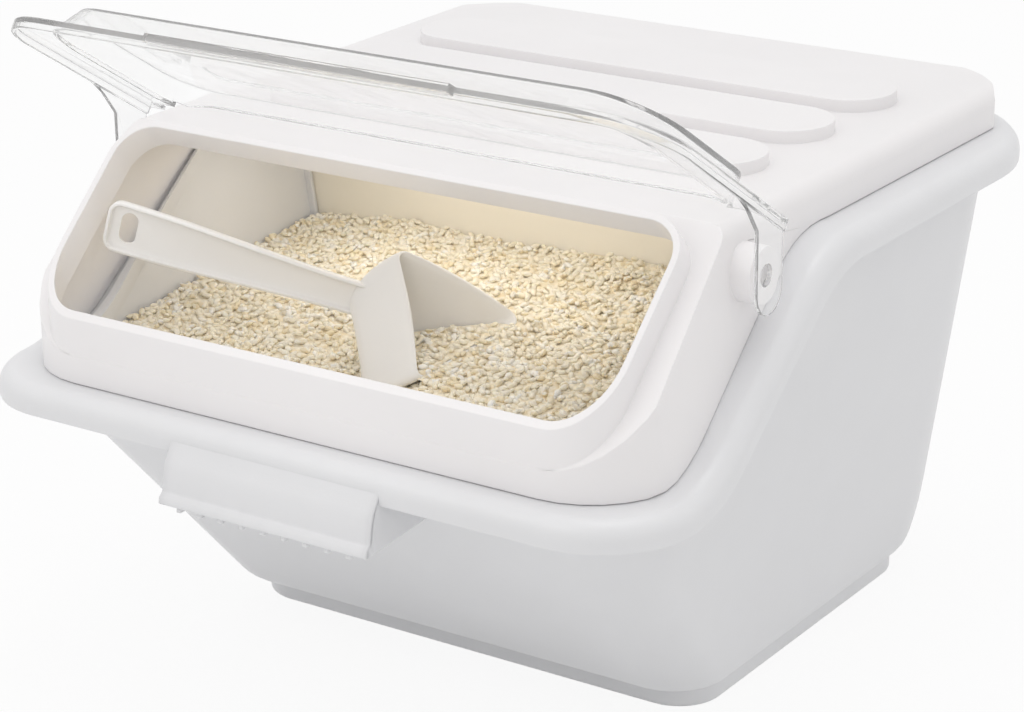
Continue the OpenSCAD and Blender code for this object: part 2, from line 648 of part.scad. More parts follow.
module rice_fill() {
    nx = rice_nx + 1;
    ny = rice_ny + 1;
    top = [for (j = [0:rice_ny], i = [0:rice_nx]) rice_top(i, j)];
    low = [for (j = [0:rice_ny], i = [0:rice_nx]) rice_low(i, j)];
    m = nx * ny;
    function at(i, j) = j * nx + i;
    edge = concat([for (i = [0:rice_nx - 1]) at(i, 0)], [for (j = [0:rice_ny - 1]) at(rice_nx, j)],
        [for (i = [rice_nx:-1:1]) at(i, rice_ny)], [for (j = [rice_ny:-1:1]) at(0, j)]);
    n = len(edge);
    color("cornsilk") polyhedron(concat(top, low), concat(
        [for (j = [0:rice_ny - 1], i = [0:rice_nx - 1]) [at(i, j), at(i, j + 1), at(i + 1, j)]],
        [for (j = [0:rice_ny - 1], i = [0:rice_nx - 1]) [at(i + 1, j), at(i, j + 1), at(i + 1, j + 1)]],
        [for (k = [0:n - 1]) [edge[k], edge[(k + 1) % n], edge[(k + 1) % n] + m]],
        [for (k = [0:n - 1]) [edge[k], edge[(k + 1) % n] + m, edge[k] + m]],
        [for (j = [0:rice_ny - 1], i = [0:rice_nx - 1]) [at(i, j) + m, at(i + 1, j) + m, at(i, j + 1) + m]],
        [for (j = [0:rice_ny - 1], i = [0:rice_nx - 1]) [at(i + 1, j) + m, at(i + 1, j + 1) + m, at(i, j + 1) + m]]));
}

bin_body();
divider_panel();
hood();
flip_lid();
scoop();
rice_in_scoop();
rice_fill();
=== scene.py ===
"""Looks of a rice bin with a flip lid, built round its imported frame."""

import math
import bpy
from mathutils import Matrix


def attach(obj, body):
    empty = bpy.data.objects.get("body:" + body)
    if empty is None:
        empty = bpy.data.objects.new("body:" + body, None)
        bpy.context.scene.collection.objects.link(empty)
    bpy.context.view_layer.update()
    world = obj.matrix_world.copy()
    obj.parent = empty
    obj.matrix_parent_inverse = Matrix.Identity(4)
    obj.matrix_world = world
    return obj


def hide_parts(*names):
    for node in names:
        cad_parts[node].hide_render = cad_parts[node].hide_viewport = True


bl_info = {
    "name": "Rice bin with flip lid",
    "version": (1, 0, 0),
    "blender": (4, 5, 0),
    "location": "3D View > Sidebar > Rice bin",
    "description": "Builds the bucket, hood, clear lid, scoop and rice of a kitchen rice bin",
    "category": "Object",
}

import bmesh
import bpy
from bpy.props import FloatProperty, FloatVectorProperty, IntProperty, PointerProperty
from mathutils import Euler, Matrix, Vector
from mathutils.bvhtree import BVHTree

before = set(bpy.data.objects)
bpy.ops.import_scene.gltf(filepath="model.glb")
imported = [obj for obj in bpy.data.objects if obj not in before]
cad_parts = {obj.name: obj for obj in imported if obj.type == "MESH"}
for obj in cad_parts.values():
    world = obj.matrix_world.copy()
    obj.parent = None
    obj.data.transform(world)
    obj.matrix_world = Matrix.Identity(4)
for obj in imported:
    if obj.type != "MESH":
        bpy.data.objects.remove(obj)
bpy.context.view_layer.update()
MM = 0.001


def length(name, default, description):
    """A size in metres, given in millimetres."""
    return FloatProperty(name=name, default=default * MM, description=description, unit="LENGTH", precision=5)


def colour(name, default, description):
    return FloatVectorProperty(name=name, default=default, size=3, subtype="COLOR", min=0, max=1,
                               description=description)


class BucketSizes(bpy.types.PropertyGroup):
    """Sizes of the bucket, its rim and its grip."""

    foot_w: length("Foot width", 273.6, "Width of the foot")
    foot_d: length("Foot depth", 220.6, "Depth of the foot")
    foot_h: length("Foot height", 11, "Height of the foot")
    foot_r: length("Foot corner", 24, "Corner radius of the foot")
    bucket_w: length("Bucket width", 283.2, "Width of the bucket where its walls would meet the table")
    side_lean: FloatProperty(name="Side lean", default=0.152, description="How much each side wall leans out")
    bucket_front: length("Bucket front", 111.8, "Front of the bucket at the table")
    front_lean: FloatProperty(name="Front lean", default=0.83, description="How much the front wall leans out")
    bucket_back: length("Bucket back", 153, "Back of the bucket")
    front_r: length("Front corner", 28, "Corner radius at the front of the bucket")
    back_r: length("Back corner", 62, "Corner radius at the back of the bucket")
    heel_r: length("Heel", 38, "Radius under the back of the bucket")
    wall: length("Wall", 2.6, "Thickness of the bucket's wall")
    floor_h: length("Floor", 4, "Height of the bucket's floor")
    rim_w: length("Rim width", 390, "Overall width across the rim")
    rim_front: length("Rim front", 257, "Front of the rim")
    rim_back: length("Rim back", 175, "Back of the rim")
    rim_front_r: length("Rim front corner", 48, "Corner radius at the front of the rim")
    rim_back_r: length("Rim back corner", 88, "Corner radius at the back of the rim")
    rim_low: length("Rim low", 145.5, "Lower edge of the rim at the front")
    rim_high: length("Rim high", 230, "Lower edge of the rim at the back")
    step_angle: FloatProperty(name="Step angle", default=math.radians(38.5), subtype="ANGLE",
                              description="Angle of the step in the rim's sides")
    step_mid: length("Step", 133.5, "How far forward the middle of the step lies")
    step_r: length("Step bend", 70, "Bend radius of the step")
    rim_h: length("Rim height", 14, "Height of the ledge over the rim's lower edge")
    step_lift: length("Step lift", 4.5, "Extra height of the ledge on the step")
    rim_roll: length("Rim roll", 9, "Radius of the roll along the rim's outer edge")
    bead_h: length("Bead", 6, "Height of the bead that locates the hood")
    hood_w: length("Hood width", 344, "Width of the hood at its top")
    hood_draft: FloatProperty(name="Hood draft", default=0.0625, description="How much the hood's sides lean out")
    hood_front: length("Hood front", 240.5, "Front of the hood")
    hood_back: length("Hood back", 162, "Back of the hood")
    hood_top: length("Hood top", 264, "Height of the hood's flat top")
    grip_w: length("Grip width", 120, "Width of the pull grip")
    grip_out: length("Grip reach", 7, "How far the grip stands ahead of the rim")
    grip_low: length("Grip low", 121, "Height of the grip's lower edge")
    grip_ribs: IntProperty(name="Grip ribs", default=9, description="Number of finger ribs in the grip")
    panel_mid: length("Divider place", 7.5, "Middle of the divider panel ahead of the origin")
    panel_t: length("Divider thickness", 3, "Thickness of the divider panel")
    panel_top: length("Divider top", 236, "Height of the divider's top")


class Finishes(bpy.types.PropertyGroup):
    """Colours of the plastics and of the rice."""

    bucket: colour("Bucket", (0.80, 0.805, 0.82), "White plastic of the bucket")
    hood: colour("Hood", (0.91, 0.895, 0.90), "White plastic of the hood")
    scoop: colour("Scoop", (0.93, 0.915, 0.89), "White plastic of the scoop")
    clear: colour("Lid", (0.995, 0.998, 0.998), "Clear plastic of the lid")
    rice: colour("Rice", (0.96, 0.89, 0.74), "Middle colour of the grains")
    rice_pale: colour("Pale rice", (0.99, 0.97, 0.91), "Colour of the palest grains")
    # rice_deep is the colour of the deepest grains, and also painted shade in the gaps between and under the packed
    # grains
    rice_deep: colour("Deep rice", (0.90, 0.78, 0.56), "Colour between and under the grains")
    # Painted reflection: the divider's cream tint stands in for light reflected onto it from the rice
    divider: colour("Divider", (0.95, 0.90, 0.79), "Cream plastic of the divider, dusted with rice flour")


class GrainSizes(bpy.types.PropertyGroup):
    """Sizes of the rice."""

    grain_l: length("Grain length", 5.2, "Length of a grain")
    grain_w: length("Grain width", 3.3, "Width of a grain")
    density: FloatProperty(name="Grains", default=150000, description="Grains on a square metre of heap")
    seed: IntProperty(name="Seed", default=11, description="Seed of the grains' places and turns")


# Materials


def material(name):
    made = bpy.data.materials.new(name)
    made.use_nodes = True
    nodes = made.node_tree.nodes
    nodes.clear()
    out = nodes.new("ShaderNodeOutputMaterial")
    shader = nodes.new("ShaderNodeBsdfPrincipled")
    made.node_tree.links.new(shader.outputs["BSDF"], out.inputs["Surface"])
    return made, nodes, made.node_tree.links, shader


def place_nodes(nodes, links):
    return nodes.new("ShaderNodeTexCoord").outputs["Object"]


def noise(nodes, links, place, scale, detail=2.0, rough=0.5):
    made = nodes.new("ShaderNodeTexNoise")
    made.inputs["Scale"].default_value = scale
    made.inputs["Detail"].default_value = detail
    made.inputs["Roughness"].default_value = rough
    links.new(place, made.inputs["Vector"])
    return made.outputs["Fac"]


def ramp(nodes, links, value, stops):
    made = nodes.new("ShaderNodeValToRGB")
    band = made.color_ramp
    while len(band.elements) < len(stops):
        band.elements.new(0.5)
    for element, (at, tint) in zip(band.elements, stops):
        element.position = at
        element.color = (*tint, 1)
    links.new(value, made.inputs["Fac"])
    return made.outputs["Color"]


def spread(nodes, links, value, low, high):
    made = nodes.new("ShaderNodeMapRange")
    made.inputs["To Min"].default_value = low
    made.inputs["To Max"].default_value = high
    links.new(value, made.inputs["Value"])
    return made.outputs["Result"]


def bump(nodes, links, height, depth, strength, after=None):
    made = nodes.new("ShaderNodeBump")
    made.inputs["Distance"].default_value = depth
    made.inputs["Strength"].default_value = strength
    links.new(height, made.inputs["Height"])
    if after is not None:
        links.new(after, made.inputs["Normal"])
    return made.outputs["Normal"]


def shade(tint, k):
    return tuple(min(1.0, c * k) for c in tint)


def moulded(name, tint, rough, peel):
    """Moulded plastic: faint flow marks in its colour, uneven gloss and a fine orange-peel surface."""
    made, nodes, links, shader = material(name)
    place = place_nodes(nodes, links)
    flow = noise(nodes, links, place, 9, 3, 0.6)
    links.new(ramp(nodes, links, flow, [(0.3, shade(tint, 0.965)), (0.7, tint)]), shader.inputs["Base Color"])
    gloss = noise(nodes, links, place, 60, 3, 0.6)
    links.new(spread(nodes, links, gloss, rough - 0.015, rough + 0.015), shader.inputs["Roughness"])
    waves = bump(nodes, links, noise(nodes, links, place, 14, 0), 0.0008, 0.04)
    skin = bump(nodes, links, noise(nodes, links, place, 900, 2), 0.00012, peel, waves)
    links.new(skin, shader.inputs["Normal"])
    shader.inputs["IOR"].default_value = 1.49
    shader.inputs["Subsurface Weight"].default_value = 0.12
    shader.inputs["Subsurface Radius"].default_value = (0.006, 0.0058, 0.0054)
    shader.inputs["Subsurface Scale"].default_value = 1.0
    return made


def clear_plastic(name, tint):
    """Clear moulded plastic: gentle waves, hardly any haze, and edges that darken with the way through."""
    made, nodes, links, shader = material(name)
    place = place_nodes(nodes, links)
    shader.inputs["Base Color"].default_value = (*tint, 1)
    shader.inputs["Transmission Weight"].default_value = 0.9
    shader.inputs["IOR"].default_value = 1.49
    haze = noise(nodes, links, place, 40, 2)
    links.new(spread(nodes, links, haze, 0.01, 0.05), shader.inputs["Roughness"])
    waves = bump(nodes, links, noise(nodes, links, place, 28, 2), 0.0012, 0.16)
    links.new(waves, shader.inputs["Normal"])
    return made


def grain_finish(name, finishes):
    """Rice grains: each is paler or deeper, with a chalky core and a waxy skin."""
    made, nodes, links, shader = material(name)
    place = place_nodes(nodes, links)
    cells = nodes.new("ShaderNodeTexVoronoi")
    cells.inputs["Scale"].default_value = 190
    links.new(place, cells.inputs["Vector"])
    split = nodes.new("ShaderNodeSeparateColor")
    links.new(cells.outputs["Color"], split.inputs["Color"])
    tint = ramp(nodes, links, split.outputs["Red"],
                [(0.0, finishes.rice_deep), (0.3, finishes.rice), (0.75, finishes.rice),
                 (1.0, finishes.rice_pale)])
    patch = noise(nodes, links, place, 14, 2)
    mix = nodes.new("ShaderNodeMix")
    mix.data_type = "RGBA"
    mix.blend_type = "MULTIPLY"
    mix.inputs["Factor"].default_value = 0.35
    links.new(tint, mix.inputs["A"])
    links.new(ramp(nodes, links, patch, [(0.3, (1.0, 0.96, 0.89)), (0.7, (1, 1, 1))]), mix.inputs["B"])
    links.new(mix.outputs["Result"], shader.inputs["Base Color"])
    links.new(bump(nodes, links, noise(nodes, links, place, 1400, 2), 0.0002, 0.25), shader.inputs["Normal"])
    shader.inputs["Roughness"].default_value = 0.42
    shader.inputs["Subsurface Weight"].default_value = 0.2
    shader.inputs["Subsurface Radius"].default_value = (0.003, 0.0024, 0.0016)
    shader.inputs["Subsurface Scale"].default_value = 1.0
    return made


def bed_finish(name, finishes):
    """The heap under the top grains: packed grains in shade."""
    made, nodes, links, shader = material(name)
    place = place_nodes(nodes, links)
    cells = nodes.new("ShaderNodeTexVoronoi")
    cells.inputs["Scale"].default_value = 270
    links.new(place, cells.inputs["Vector"])
    # Painted shade: each cell darkens from rice to rice_deep towards its edge, in the gaps between the packed grains
    links.new(ramp(nodes, links, cells.outputs["Distance"],
                   [(0.0, finishes.rice), (0.45, finishes.rice), (0.8, finishes.rice_deep)]),
              shader.inputs["Base Color"])
    flip = spread(nodes, links, cells.outputs["Distance"], 1, 0)
    links.new(bump(nodes, links, flip, 0.0015, 0.9), shader.inputs["Normal"])
    shader.inputs["Roughness"].default_value = 0.55
    return made


FINISH = {}


def finish(key):
    """The material of that name, made once."""
    if key not in FINISH:
        looks = bpy.context.scene.bin_finishes
        FINISH.update(
            bucket=moulded("bucket_plastic", tuple(looks.bucket), 0.36, 0.30),
            divider=moulded("divider_plastic", tuple(looks.divider), 0.45, 0.30),
            hood=moulded("hood_plastic", tuple(looks.hood), 0.33, 0.20),
            scoop=moulded("scoop_plastic", tuple(looks.scoop), 0.30, 0.25),
            clear=clear_plastic("clear_plastic", tuple(looks.clear)),
            grain=grain_finish("rice_grain", looks),
            bed=bed_finish("rice_bed", looks))
    return FINISH[key]


# Mesh helpers


def new_piece(name, points, faces, key, smooth=35):
    mesh = bpy.data.meshes.new(name)
    mesh.from_pydata([tuple(map(float, p)) for p in points], [], faces)
    return add_piece(name, mesh, key, smooth)


def add_piece(name, mesh, key, smooth=35):
    mesh.materials.clear()
    mesh.materials.append(finish(key))
    mesh.polygons.foreach_set("use_smooth", [True] * len(mesh.polygons))
    mesh.set_sharp_from_angle(angle=math.radians(smooth))
    made = bpy.data.objects.new(name, mesh)
    bpy.context.scene.collection.objects.link(made)
    return made


def frozen(piece, name, key, smooth=40):
    """The piece with its modifiers applied, as a plain mesh that takes its place."""
    bpy.context.view_layer.update()
    seen = piece.evaluated_get(bpy.context.evaluated_depsgraph_get())
    mesh = bpy.data.meshes.new_from_object(seen)
    bpy.data.objects.remove(piece, do_unlink=True)
    mesh.name = name
    mesh.materials.clear()
    mesh.materials.append(finish(key))
    mesh.polygons.foreach_set("material_index", [0] * len(mesh.polygons))
    made = bpy.data.objects.new(name, mesh)
    bpy.context.scene.collection.objects.link(made)
    return made


def eased(piece, name, key, width, segments=2, angle=32):
    """The piece with its edges rounded and its flat faces shaded flat."""
    edge = piece.modifiers.new("edges", "BEVEL")
    edge.width = width
    edge.segments = segments
    edge.limit_method = "ANGLE"
    edge.angle_limit = math.radians(angle)
    edge.use_clamp_overlap = False
    edge.miter_outer = "MITER_ARC"
    flat = piece.modifiers.new("flats", "WEIGHTED_NORMAL")
    flat.keep_sharp = True
    return frozen(piece, name, key)


def node_copy(node, name, key):
    """A copy of a CAD node's mesh with its points merged."""
    work = bmesh.new()
    work.from_mesh(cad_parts[node].data)
    bmesh.ops.remove_doubles(work, verts=work.verts, dist=2e-5)
    bmesh.ops.dissolve_degenerate(work, edges=work.edges, dist=2e-5)
    mesh = bpy.data.meshes.new(name)
    work.to_mesh(mesh)
    work.free()
    return add_piece(name, mesh, key, 50)


def ring_faces(count, n, closed_ends=True):
    """Quads between rings of n points, with a cap at each end."""
    faces = [(k * n + i, (k + 1) * n + i, (k + 1) * n + (i + 1) % n, k * n + (i + 1) % n)
             for k in range(count - 1) for i in range(n)]
    if closed_ends:
        faces += [tuple(range(n)), tuple((count - 1) * n + i for i in range(n - 1, -1, -1))]
    return faces


def prism(axis, low, high, outline):
    """A prism along X or Y from an outline in the other two directions, and its faces."""
    place = (lambda t, p: (t, p[0], p[1])) if axis == "X" else (lambda t, p: (p[0], t, p[1]))
    n = len(outline)
    points = [place(low, p) for p in outline] + [place(high, p) for p in outline]
    return points, [tuple(range(n)), tuple(range(2 * n - 1, n - 1, -1))] + [
        (i, n + i, n + (i + 1) % n, (i + 1) % n) for i in range(n)]


def outward(piece):
    work = bmesh.new()
    work.from_mesh(piece.data)
    bmesh.ops.remove_doubles(work, verts=work.verts, dist=1e-6)
    bmesh.ops.recalc_face_normals(work, faces=work.faces)
    work.to_mesh(piece.data)
    work.free()
    return piece


# Bucket


class Bucket:
    """The bucket's outlines, heights and rings."""

    corner_n = 18
    side_n = 84

    def __init__(self, s):
        self.s = s
        tan = s.step_r * math.tan(s.step_angle / 2)
        run = (s.rim_high - s.rim_low) / math.tan(s.step_angle)
        self.run, self.inner = run, tan * math.cos(s.step_angle)
        self.low_start = -s.step_mid - run / 2 - tan
        self.low_end = -s.step_mid - run / 2 + self.inner
        self.high_start = -s.step_mid + run / 2 - self.inner
        self.high_end = -s.step_mid + run / 2 + tan
        self.foot = (s.foot_w / 2, s.foot_d / 2, s.foot_d / 2, s.foot_r, s.foot_r)
        self.rim = (s.rim_w / 2, s.rim_front, s.rim_back, s.rim_front_r, s.rim_back_r)
        low_w = s.hood_w / 2 + s.hood_draft * (s.hood_top - s.rim_low - s.rim_h)
        self.hood_plan = (low_w, s.hood_front, s.hood_back, 45 * MM, 67 * MM)
        gap = 3.3 * MM
        self.bead = (s.hood_w / 2 - gap, s.hood_front - gap, s.hood_back - gap, 45 * MM - gap, 67 * MM - gap)

    def rim_z(self, y):
        s = self.s
        if y <= self.low_start:
            return s.rim_low
        if y < self.low_end:
            return s.rim_low + s.step_r - math.sqrt(s.step_r ** 2 - (y - self.low_start) ** 2)
        if y <= self.high_start:
            return s.rim_low + (y + s.step_mid + self.run / 2) * math.tan(s.step_angle)
        if y < self.high_end:
            return s.rim_high - s.step_r + math.sqrt(s.step_r ** 2 - (self.high_end - y) ** 2)
        return s.rim_high

    def steepness(self, y):
        if y <= self.low_start or y >= self.high_end:
            return 0.0
        if y < self.low_end:
            return (y - self.low_start) / (self.low_end - self.low_start)
        if y <= self.high_start:
            return 1.0
        return (self.high_end - y) / (self.high_end - self.high_start)

    def rise_z(self, y, h):
        return self.rim_z(y) + h * (1 + self.s.step_lift / self.s.rim_h * self.steepness(y))

    def outline(self, o):
        """All points of an outline, right side first."""
        return [self.outline_at(o, i) for i in range(4 * (self.corner_n + 1) + 2 * (self.side_n - 1))]

    @staticmethod
    def drawn_in(o, d):
        return (o[0] - d, o[1] - d, o[2] - d, max(MM, o[3] - d), max(MM, o[4] - d))

    def tuck(self, z, r):
        foot_h = self.s.foot_h
        if z >= foot_h + r:
            return 0.0
        return r - math.sqrt(max(0.0, r ** 2 - (foot_h + r - max(z, foot_h)) ** 2))

    def bucket(self, z, z_front, z_back, t):
        s = self.s
        heel = self.tuck(z_back, s.heel_r)
        return (s.bucket_w / 2 + s.side_lean * z - t - self.tuck(z, 8 * MM),
                s.bucket_front + s.front_lean * z_front - t * math.hypot(1, s.front_lean)
                - self.tuck(z_front, 9 * MM),
                s.bucket_back - t - heel, s.front_r - t, max(s.foot_r, s.back_r - 0.7 * heel) - t)

    def wall_ring(self, f, t, h):
        s = self.s
        share = lambda top: s.foot_h + f * (top - s.foot_h)
        made = []
        for i, (_, y) in enumerate(self.wall_top):
            z = share(self.rise_z(y, h))
            o = self.bucket(z, share(s.rim_low + h), share(s.rim_high + h), t)
            made.append((*self.outline_at(o, i), z))
        return made

    def outline_at(self, o, i):
        """One point of an outline."""
        half, front, back, fr, br = o
        n, c, m = 2 * (self.corner_n + 1) + self.side_n - 1, self.corner_n, self.side_n
        sign = 1
        if i >= n:
            i, sign = 2 * n - 1 - i, -1
        if i <= c:
            a = math.radians(-90 + 90 * i / c)
            return sign * (half - fr + fr * math.cos(a)), -front + fr + fr * math.sin(a)
        if i < c + m:
            t = (i - c) / m
            y0, y1 = -front + fr, back - br
            return sign * half, y0 + (y1 - y0) * (t * 0.8 if t < 0.7 else 0.56 + (t - 0.7) / 0.3 * 0.44)
        a = math.radians(90 * (i - c - m) / c)
        return sign * (half - br + br * math.cos(a)), back - br + br * math.sin(a)

    def flat(self, o, z):
        return [(x, y, z) for x, y in self.outline(o)]

    def level(self, o, h, up=0.0):
        return [(x, y, self.rise_z(y, h) + up) for x, y in self.outline(o)]

    def rings(self):
        s, inn = self.s, self.drawn_in
        self.wall_top = self.outline(self.bucket(s.rim_high, s.rim_low + s.rim_h, s.rim_high, 0))
        h = s.rim_h
        steps = [0.0025, 0.007, 0.014, 0.024, 0.036, 0.05, 0.066, 0.085, 0.11, 0.14, 0.175, 0.21, 0.25, 0.4,
                 0.6, 0.8, 1]
        rings = [self.flat(inn(self.foot, d * MM), z * MM)
                 for d, z in ((2.2, 0), (1.2, 0.25), (0.5, 0.9), (0.1, 1.8), (0, 2.6))]
        rings += [self.flat(self.foot, s.foot_h - 1.2 * MM), self.flat(self.foot, s.foot_h)]
        rings += [self.wall_ring(f, 0, h - 6 * MM) for f in steps]
        wall = s.wall
        rings += [self.level(inn(self.rim, d), h + dz) for d, dz in (
            (8 * MM, -4 * MM), (wall + 1.2 * MM, -5.4 * MM), (wall, -7.5 * MM), (wall, 0.6 * MM - h),
            (wall - 0.5 * MM, -h), (0.9 * MM, -h), (0.25 * MM, 0.35 * MM - h), (0, 1.2 * MM - h))]
        roll = s.rim_roll
        for k in range(9):
            a = math.radians(90 * k / 8)
            rings.append(self.level(inn(self.rim, roll * (1 - math.cos(a))), h - roll * (1 - math.sin(a))))
        rings += [self.level(self.hood_plan, h), self.level(self.bead, h)]
        rings += [self.level(self.bead, h, s.bead_h - 0.6 * MM), self.level(inn(self.bead, 0.6 * MM), h, s.bead_h)]
        lip = self.outline(inn(self.bead, 2.2 * MM))
        wall_top = self.wall_ring(1, wall, h - 4 * MM)
        edge = [(math.copysign(min(abs(b[0]), abs(w[0])), b[0]), max(b[1], w[1]) if b[1] < 0 else min(b[1], w[1]))
                for b, w in zip(lip, wall_top)]
        rings += [[(x, y, self.rise_z(y, h) + s.bead_h) for x, y in edge],
                  [(x, y, self.rise_z(y, h - 3 * MM)) for x, y in edge]]
        rings += [self.wall_ring(f, wall, h - 4 * MM) for f in reversed(steps) if f > 0.02]
        floor = inn(self.foot, wall + MM)
        rings += [self.flat(floor, s.foot_h), self.flat(inn(floor, 1.5 * MM), s.floor_h + 3 * MM),
                  self.flat(inn(floor, 2.6 * MM), s.floor_h + 1 * MM), self.flat(inn(floor, 5 * MM), s.floor_h)]
        return rings


class RICEBIN_OT_bucket(bpy.types.Operator):
    """Build the bucket with its foot, its stepped rolled rim and the rails of the divider"""

    bl_idname = "rice_bin.bucket"
    bl_label = "Bucket"

    def execute(self, context):
        s = context.scene.bin_sizes
        b = Bucket(s)
        rings = b.rings()
        n = len(rings[0])
        shell = outward(new_piece("bin_shell", [p for r in rings for p in r], ring_faces(len(rings), n), "bucket",
                                  42))
        flat = shell.modifiers.new("flats", "WEIGHTED_NORMAL")
        flat.keep_sharp = True
        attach(shell, "bin")
        # Rails of the divider, each a slim upright strip
        inner = s.bucket_w / 2 - s.wall
        foot_z, out, rail_t, gap = 30 * MM, 4 * MM, 2.2 * MM, 0.5 * MM
        edge = [(inner + s.side_lean * foot_z + 0.6 * MM, foot_z), (inner + s.side_lean * foot_z - 0.5 * MM, foot_z),
                (inner + s.side_lean * foot_z - out, foot_z + 3 * MM),
                (inner + s.side_lean * s.panel_top - out, s.panel_top - 1.5 * MM),
                (inner + s.side_lean * s.panel_top - out + 1.5 * MM, s.panel_top),
                (inner + s.side_lean * s.panel_top + 0.6 * MM, s.panel_top)]
        points, faces = [], []
        front = -s.panel_mid - s.panel_t / 2 - gap
        rear = -s.panel_mid + s.panel_t / 2 + gap
        for side in (1, -1):
            for low in (front - rail_t, rear):
                p, f = prism("Y", low, low + rail_t, [(side * x, z) for x, z in edge])
                faces += [tuple(len(points) + i for i in face) for face in f]
                points += p
        rails = eased(outward(new_piece("divider_rails", points, faces, "bucket")), "divider_rails", "bucket",
                      0.4 * MM)
        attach(rails, "bin")
        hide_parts("bin_body")
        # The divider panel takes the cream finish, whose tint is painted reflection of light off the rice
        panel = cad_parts["divider_panel"]
        panel.data.materials.clear()
        panel.data.materials.append(finish("divider"))
        return {"FINISHED"}


def instanced(name, source, key, build):
    """Builds a Geometry Nodes tree on the source's mesh, freezes the result and drops the source."""
    tree = bpy.data.node_groups.new(name, "GeometryNodeTree")
    tree.interface.new_socket("Geometry", in_out="INPUT", socket_type="NodeSocketGeometry")
    tree.interface.new_socket("Geometry", in_out="OUTPUT", socket_type="NodeSocketGeometry")
    nodes, links = tree.nodes, tree.links
    start, end = nodes.new("NodeGroupInput"), nodes.new("NodeGroupOutput")
    values = build(tree, start)
    whole = nodes.new("GeometryNodeRealizeInstances")
    links.new(values["instances"], whole.inputs["Geometry"])
    soft = nodes.new("GeometryNodeSetShadeSmooth")
    links.new(whole.outputs["Geometry"], soft.inputs["Geometry"])
    paint = nodes.new("GeometryNodeSetMaterial")
    paint.inputs["Material"].default_value = finish(key)
    links.new(soft.outputs["Geometry"], paint.inputs["Geometry"])
    links.new(paint.outputs["Geometry"], end.inputs[0])
    live = source.modifiers.new(name, "NODES")
    live.node_group = tree
    for item in tree.interface.items_tree:
        if item.in_out == "INPUT" and item.name in values["inputs"]:
            live[item.identifier] = values["inputs"][item.name]
    made = frozen(source, name, key)
    bpy.data.node_groups.remove(tree)
    return made


class RICEBIN_OT_grip(bpy.types.Operator):
    """Build the pull grip under the front of the rim: its face, end webs and finger ribs"""

    bl_idname = "rice_bin.grip"
    bl_label = "Grip"

    def execute(self, context):
        s = context.scene.bin_sizes
        front, low, h = -s.rim_front, s.rim_low, s.rim_h
        face_y = front - s.grip_out
        foot_y = face_y - 4 * MM
        wall, half = s.wall, s.grip_w / 2
        outer = [(front + 3 * MM, h + low - 5.2 * MM), (front + 0.4 * MM, h + low - 7.4 * MM),
                 (front - 1.6 * MM, low + 2.6 * MM), (face_y + 2.6 * MM, low - 1.6 * MM),
                 (face_y + 0.9 * MM, low - 6 * MM), (face_y - 0.2 * MM, low - 11 * MM),
                 (face_y - 0.9 * MM, low - 16 * MM), (foot_y + 0.6 * MM, s.grip_low + 6 * MM),
                 (foot_y, s.grip_low + 3.6 * MM), (foot_y + 0.4 * MM, s.grip_low + 2.5 * MM)]
        inner = [(y + wall, z) for y, z in reversed(outer)]
        points, faces = prism("X", -half, half, outer + inner)
        for side in (-1, 1):
            web = [(y + 0.5 * MM, z) for y, z in outer][::-1] + [
                (-s.bucket_front - s.front_lean * (low + 6 * MM) + MM, low + h - 4 * MM),
                (-s.bucket_front - s.front_lean * (s.grip_low + 6 * MM) + MM, s.grip_low + 6 * MM)]
            x0, x1 = sorted((side * half, side * (half - wall)))
            p, f = prism("X", x0, x1, web)
            faces += [tuple(len(points) + i for i in face) for face in f]
            points += p
        grip = eased(outward(new_piece("grip_face", points, faces, "bucket")), "grip_face", "bucket", 0.6 * MM, 3)
        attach(grip, "bin")
        rib = [(foot_y + wall - 1.6 * MM, s.grip_low), (foot_y + wall + 3 * MM, s.grip_low),
               (foot_y + wall + 4 * MM, s.grip_low + 1.2 * MM), (face_y + wall + 2.5 * MM, low - 12 * MM),
               (face_y + wall - 1.2 * MM, low - 12 * MM)]
        p, f = prism("X", -1.5 * MM, 1.5 * MM, rib)
        model = eased(outward(new_piece("rib_model", p, f, "bucket")), "rib_model", "bucket", 0.7 * MM, 2)

        def build(tree, start):
            nodes, links = tree.nodes, tree.links
            count = tree.interface.new_socket("Count", in_out="INPUT", socket_type="NodeSocketInt")
            pitch = tree.interface.new_socket("Span", in_out="INPUT", socket_type="NodeSocketFloat")
            line = nodes.new("GeometryNodeMeshLine")
            line.mode = "END_POINTS"
            ends = []
            for sign in (-0.5, 0.5):
                scale = nodes.new("ShaderNodeMath")
                scale.operation = "MULTIPLY"
                scale.inputs[1].default_value = sign
                links.new(start.outputs["Span"], scale.inputs[0])
                place = nodes.new("ShaderNodeCombineXYZ")
                links.new(scale.outputs[0], place.inputs["X"])
                ends.append(place.outputs[0])
            links.new(start.outputs["Count"], line.inputs["Count"])
            links.new(ends[0], line.inputs["Start Location"])
            links.new(ends[1], line.inputs["Offset"])
            put = nodes.new("GeometryNodeInstanceOnPoints")
            links.new(line.outputs["Mesh"], put.inputs["Points"])
            links.new(start.outputs["Geometry"], put.inputs["Instance"])
            return {"instances": put.outputs["Instances"],
                    "inputs": {"Count": s.grip_ribs, "Span": s.grip_w - 22 * MM}}

        ribs = instanced("grip_ribs", model, "bucket", build)
        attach(ribs, "bin")
        for piece in (grip, ribs):
            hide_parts("bin_body")
        return {"FINISHED"}


class RICEBIN_OT_hood(bpy.types.Operator):
    """Build the lift-off hood with its mouth, hinge bosses and raised pads"""

    bl_idname = "rice_bin.hood"
    bl_label = "Hood"

    def execute(self, context):
        hood = eased(node_copy("hood", "hood_shell", "hood"), "hood_shell", "hood", 0.45 * MM, 2, 28)
        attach(hood, "hood")
        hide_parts("hood")
        return {"FINISHED"}


